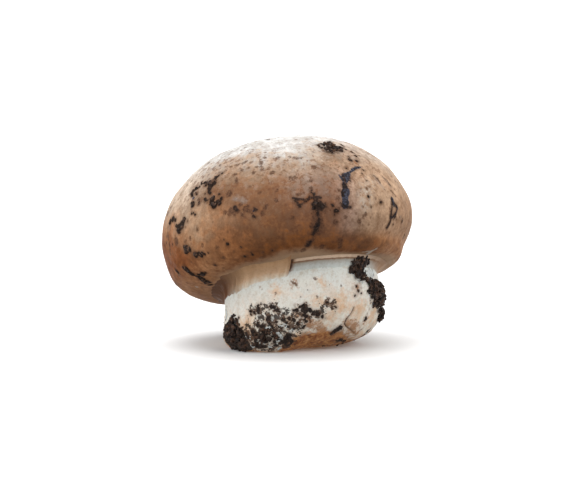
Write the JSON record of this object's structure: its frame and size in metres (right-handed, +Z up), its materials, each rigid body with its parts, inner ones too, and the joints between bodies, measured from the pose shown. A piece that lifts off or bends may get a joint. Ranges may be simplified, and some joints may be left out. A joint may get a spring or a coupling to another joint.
{
  "type": "button mushroom",
  "caption": "Closed-cup brown button mushroom standing on its short thick stem, cap leaning back and left, veil closed under the rim, peat soil clinging to stem base and cap.",
  "frame": {"origin": "in the flat of the stem's base that the mushroom rests on, near its middle", "axes": "+Z up, the flat of the base faces -Z; -Y is the front, the side with most soil; +X is right seen from the front; the cap leans back (+Y) and left (-X)"},
  "size_m": [0.0503, 0.0494, 0.042],
  "materials": {
    "cap_skin": "satin",
    "veil_membrane": "matte",
    "stem_flesh": "matte",
    "casing_soil": "matte"
  },
  "bodies": {
    "root": {"cap": "cap_skin", "veil": "veil_membrane", "stem": "stem_flesh", "soil_cap_top": "casing_soil", "soil_cap_top_right": "casing_soil", "soil_cap_left_upper": "casing_soil", "soil_cap_left_mid": "casing_soil", "soil_cap_left_edge": "casing_soil", "soil_cap_left_cluster": "casing_soil", "soil_cap_left_spot": "casing_soil", "soil_cap_left_low": "casing_soil", "soil_cap_left_rim": "casing_soil", "soil_cap_back": "casing_soil", "soil_collar": "casing_soil", "soil_right": "casing_soil", "soil_right_tail": "casing_soil", "soil_front_upper": "casing_soil", "soil_front_middle": "casing_soil", "soil_front_crumb_left": "casing_soil", "soil_front_crumb_middle": "casing_soil", "soil_base_left": "casing_soil", "soil_base_front": "casing_soil", "soil_base_back": "casing_soil"}
  },
  "joints": []
}
